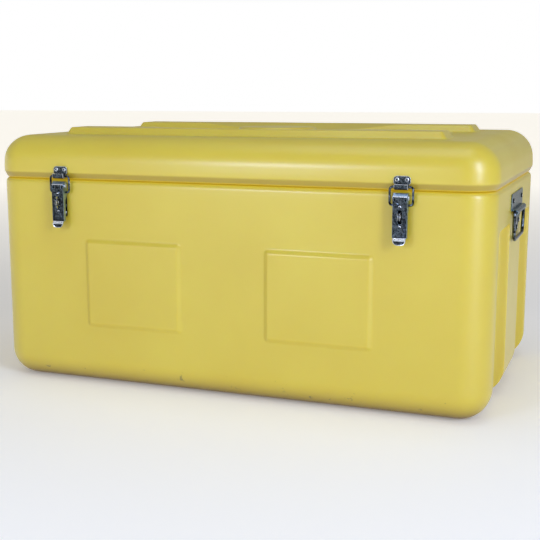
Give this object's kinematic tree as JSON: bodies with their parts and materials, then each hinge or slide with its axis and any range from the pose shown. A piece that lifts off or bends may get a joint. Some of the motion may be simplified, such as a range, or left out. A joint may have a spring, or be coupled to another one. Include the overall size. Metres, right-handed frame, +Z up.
{
  "type": "large moulded toolbox",
  "caption": "Large hollow moulded box with a hinged ribbed lid, riveted over-centre draw latches on the front and drop handles on the ends.",
  "frame": {"origin": "on the floor, under the middle of the moulded box", "axes": "+X along the length to the right end, +Y to the back where the lid is hinged, +Z up; the latches are at -Y"},
  "size_m": [0.8654, 0.547, 0.4367],
  "materials": {
    "moulded_shell": "satin, faintly uneven moulded surface",
    "seal": "matte",
    "zinc_steel": "zinc plated, pressed and bent",
    "rivets": "zinc plated, domed heads"
  },
  "bodies": {
    "base": {"base_shell": "moulded_shell", "hinge_lower_leaf_left": "zinc_steel", "hinge_lower_leaf_right": "zinc_steel", "hinge_pin_left": "rivets", "hinge_pin_right": "rivets", "hinge_lower_rivets_left": "rivets", "hinge_lower_rivets_right": "rivets", "latch_bracket_left": "zinc_steel", "latch_bracket_right": "zinc_steel", "latch_staple_left": "zinc_steel", "latch_staple_right": "zinc_steel", "latch_pin_left": "rivets", "latch_pin_right": "rivets", "bracket_rivets_left": "rivets", "bracket_rivets_right": "rivets", "handle_plate_left": "zinc_steel", "handle_plate_right": "zinc_steel", "handle_rivets_left": "rivets", "handle_rivets_right": "rivets"},
    "lid": {"lid_shell": "moulded_shell", "lid_seal": "seal", "hinge_upper_leaf_left": "zinc_steel", "hinge_upper_leaf_right": "zinc_steel", "hinge_upper_rivets_left": "rivets", "hinge_upper_rivets_right": "rivets", "latch_keeper_left": "zinc_steel", "latch_keeper_right": "zinc_steel", "keeper_rivets_left": "rivets", "keeper_rivets_right": "rivets"},
    "lever_left": {"latch_lever_left": "zinc_steel"},
    "loop_left": {"latch_loop_left": "zinc_steel"},
    "bail_left": {"handle_bail_left": "zinc_steel"},
    "lever_right": {"latch_lever_right": "zinc_steel"},
    "loop_right": {"latch_loop_right": "zinc_steel"},
    "bail_right": {"handle_bail_right": "zinc_steel"}
  },
  "joints": [
    {"name": "lid_hinge", "type": "hinge", "parent": "base", "child": "lid", "pos_m": [0, 0.2636, 0.35], "axis": [-1, 0, 0], "range_deg": [0, 105]},
    {"name": "lever_hinge_left", "type": "hinge", "parent": "base", "child": "lever_left", "pos_m": [-0.289, -0.263, 0.34], "axis": [-1, 0, 0], "range_deg": [0, 90]},
    {"name": "loop_pivot_left", "type": "hinge", "parent": "lever_left", "child": "loop_left", "pos_m": [-0.289, -0.261, 0.3293], "axis": [-1, 0, 0], "range_deg": [-63, 0]},
    {"name": "bail_hinge_left", "type": "hinge", "parent": "base", "child": "bail_left", "pos_m": [-0.4277, 0, 0.302], "axis": [0, 1, 0], "range_deg": [0, 160]},
    {"name": "lever_hinge_right", "type": "hinge", "parent": "base", "child": "lever_right", "pos_m": [0.289, -0.263, 0.34], "axis": [-1, 0, 0], "range_deg": [0, 90]},
    {"name": "loop_pivot_right", "type": "hinge", "parent": "lever_right", "child": "loop_right", "pos_m": [0.289, -0.261, 0.3293], "axis": [-1, 0, 0], "range_deg": [-63, 0]},
    {"name": "bail_hinge_right", "type": "hinge", "parent": "base", "child": "bail_right", "pos_m": [0.4277, 0, 0.302], "axis": [0, -1, 0], "range_deg": [0, 160]}
  ],
  "couplings": [
    {"joint": "loop_pivot_left", "follows": "lever_hinge_left", "ratio": -0.7},
    {"joint": "loop_pivot_right", "follows": "lever_hinge_right", "ratio": -0.7}
  ]
}
